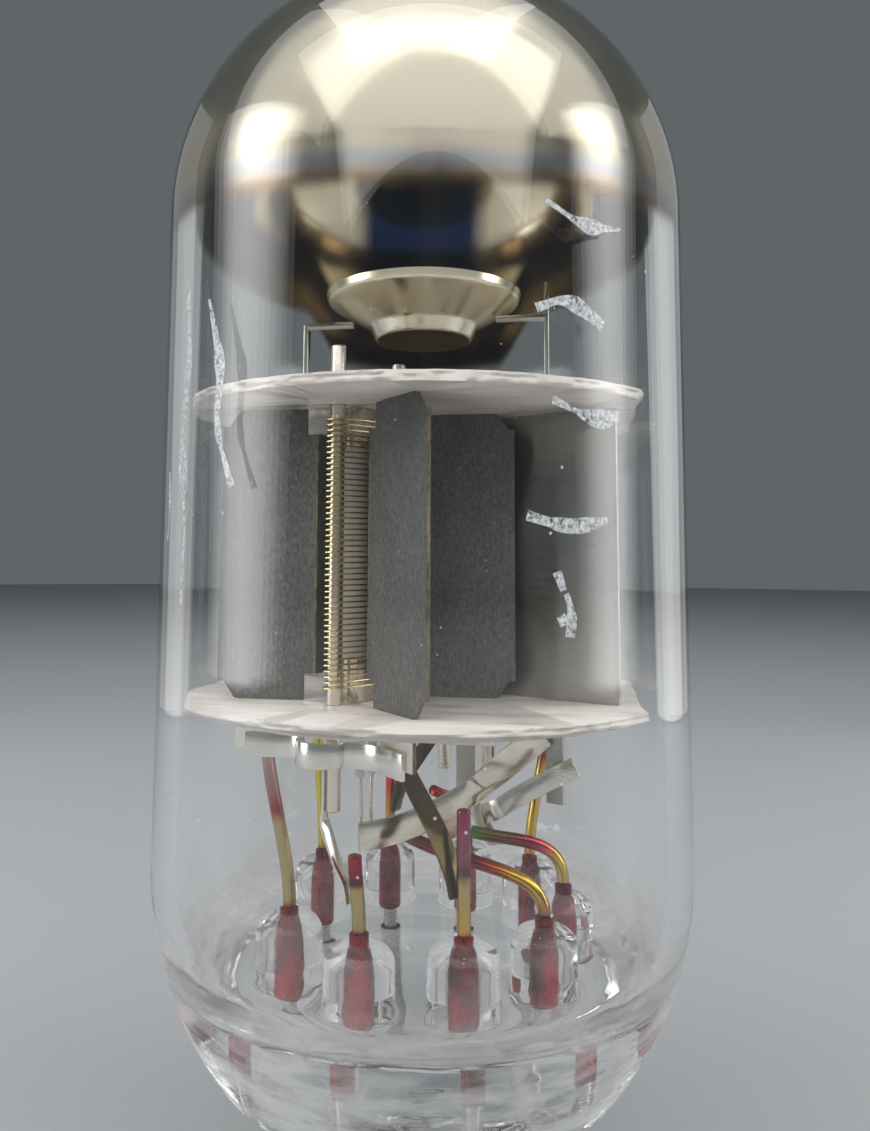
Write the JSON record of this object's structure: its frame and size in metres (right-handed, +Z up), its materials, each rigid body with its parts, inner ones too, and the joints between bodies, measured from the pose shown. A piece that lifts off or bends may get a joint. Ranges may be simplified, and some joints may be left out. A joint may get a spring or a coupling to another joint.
{
  "type": "twin triode tube",
  "caption": "Small glass vacuum tube holding two triodes side by side between mica discs, with a getter mirror in its dome and a pinned glass base.",
  "frame": {"origin": "on the tube's axis, level with the tips of the pins", "axes": "+Z up the glass from the pins to the sealed-off tip, +X to the right along the screen between the triodes, +Y from the front triode to the back one"},
  "size_m": [0.022, 0.022, 0.055],
  "materials": {
    "bulb_glass": "clear blown glass",
    "stem_glass": "clear pressed glass",
    "getter_mirror": "evaporated metal film",
    "dish_metal": "heat-browned sheet",
    "nickel": "bare nickel sheet",
    "mica": "layered mineral sheet",
    "screen_nickel": "bright nickel sheet",
    "anode_grey": "matt carbonised nickel",
    "rod_metal": "plated wire",
    "grid_gold": "gold-plated fine wire",
    "cathode_white": "sprayed oxide on a nickel sleeve",
    "heater_white": "sprayed insulation on wire",
    "strap_metal": "heat-tinted nickel ribbon",
    "bronzed_strip": "heat-browned ribbon",
    "pin_nickel": "worn plated pin",
    "copper_clad": "oxidised copper-clad wire",
    "lead_metal": "heat-tinted plated wire"
  },
  "bodies": {
    "root": {"getter_film": "getter_mirror", "getter_dish": "dish_metal", "getter_leg_left": "nickel", "getter_leg_right": "nickel", "top_mica": "mica", "lower_mica": "mica", "under_mica": "mica", "screen": "screen_nickel", "anode_front_left": "anode_grey", "anode_front_right": "anode_grey", "anode_back_left": "anode_grey", "anode_back_right": "anode_grey", "anode_strap_front": "nickel", "anode_strap_back": "nickel", "grid_rod_front_outer": "rod_metal", "grid_rod_front_inner": "rod_metal", "grid_rod_back_outer": "rod_metal", "grid_rod_back_inner": "rod_metal", "grid_wire_front": "grid_gold", "grid_wire_back": "grid_gold", "cathode_front": "cathode_white", "cathode_back": "cathode_white", "heater_front": "heater_white", "heater_back": "heater_white", "heater_strap": "strap_metal", "heater_link": "strap_metal", "side_strap": "nickel", "cathode_strip_front": "bronzed_strip", "cathode_strip_back": "bronzed_strip", "grid_link_front": "nickel", "grid_link_back": "nickel", "glass_bulb": "bulb_glass", "glass_stem": "stem_glass", "pin_1": "pin_nickel", "seal_wire_1": "copper_clad", "lead_1": "lead_metal", "pin_2": "pin_nickel", "seal_wire_2": "copper_clad", "lead_2": "lead_metal", "pin_3": "pin_nickel", "seal_wire_3": "copper_clad", "lead_3": "lead_metal", "pin_4": "pin_nickel", "seal_wire_4": "copper_clad", "lead_4": "lead_metal", "pin_5": "pin_nickel", "seal_wire_5": "copper_clad", "lead_5": "lead_metal", "pin_6": "pin_nickel", "seal_wire_6": "copper_clad", "lead_6": "lead_metal", "pin_7": "pin_nickel", "seal_wire_7": "copper_clad", "lead_7": "lead_metal", "pin_8": "pin_nickel", "seal_wire_8": "copper_clad", "lead_8": "lead_metal", "pin_9": "pin_nickel", "seal_wire_9": "copper_clad", "lead_9": "lead_metal"}
  },
  "joints": []
}
